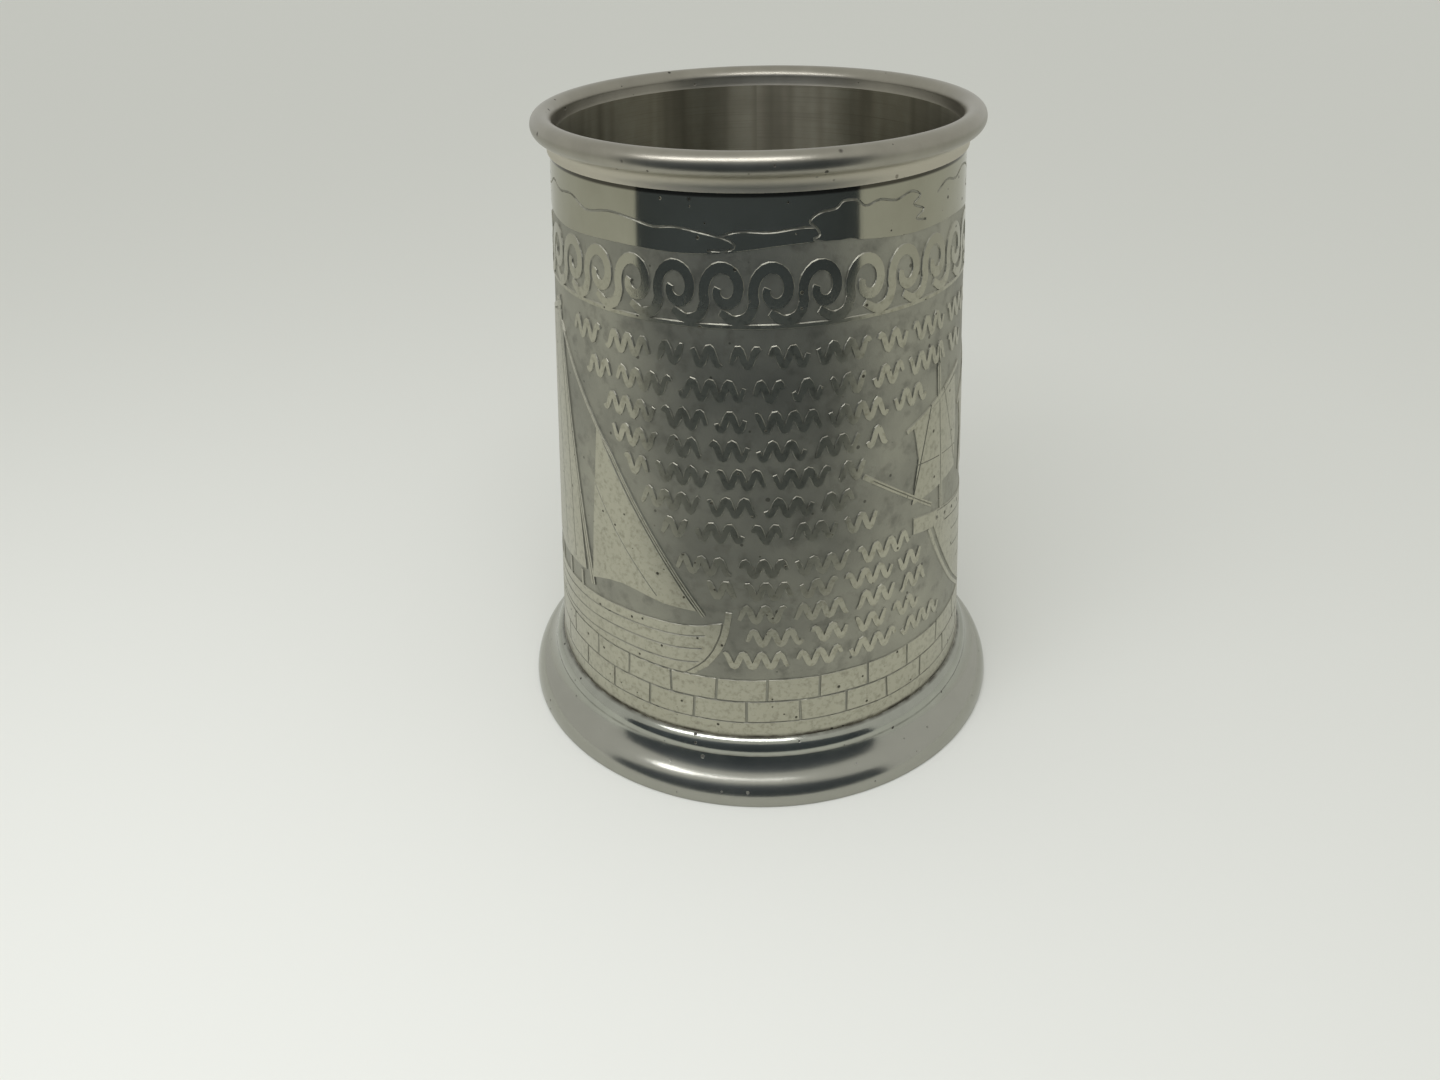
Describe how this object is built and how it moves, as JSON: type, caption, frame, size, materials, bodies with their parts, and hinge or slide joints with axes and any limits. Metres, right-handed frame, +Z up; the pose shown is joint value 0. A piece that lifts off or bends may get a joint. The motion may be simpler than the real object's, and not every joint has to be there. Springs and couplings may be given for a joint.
{
  "type": "tankard",
  "caption": "Tapered pewter tankard with a rolled lip, an etched harbour scene round the body, a flared foot, a glass base and a hollow cast handle.",
  "frame": {"origin": "centre of the foot ring's flat underside, on the axis of the body", "axes": "+Z up along the body's axis, +Y from the axis towards the handle, +X to the right when the handle is behind the body"},
  "size_m": [0.106, 0.1391, 0.124],
  "materials": {
    "pewter_body": "satin",
    "pewter_mounts": "polished",
    "pewter_inner": "satin",
    "pewter_handle": "polished",
    "solder": "satin",
    "sealant": "matte",
    "glass": "gloss"
  },
  "bodies": {
    "root": {"barrel": "pewter_body", "barrel_seam": "solder", "lip_mount": "pewter_mounts", "lip_solder": "solder", "foot_ring": "pewter_mounts", "foot_solder": "solder", "seat_ring": "pewter_inner", "seat_solder": "solder", "glass_seal": "sealant", "glass_base": "glass", "glass_retainer": "pewter_inner", "retainer_solder": "solder", "handle_left": "pewter_handle", "handle_right": "pewter_handle", "handle_upper_solder": "solder", "handle_lower_solder": "solder"}
  },
  "joints": []
}
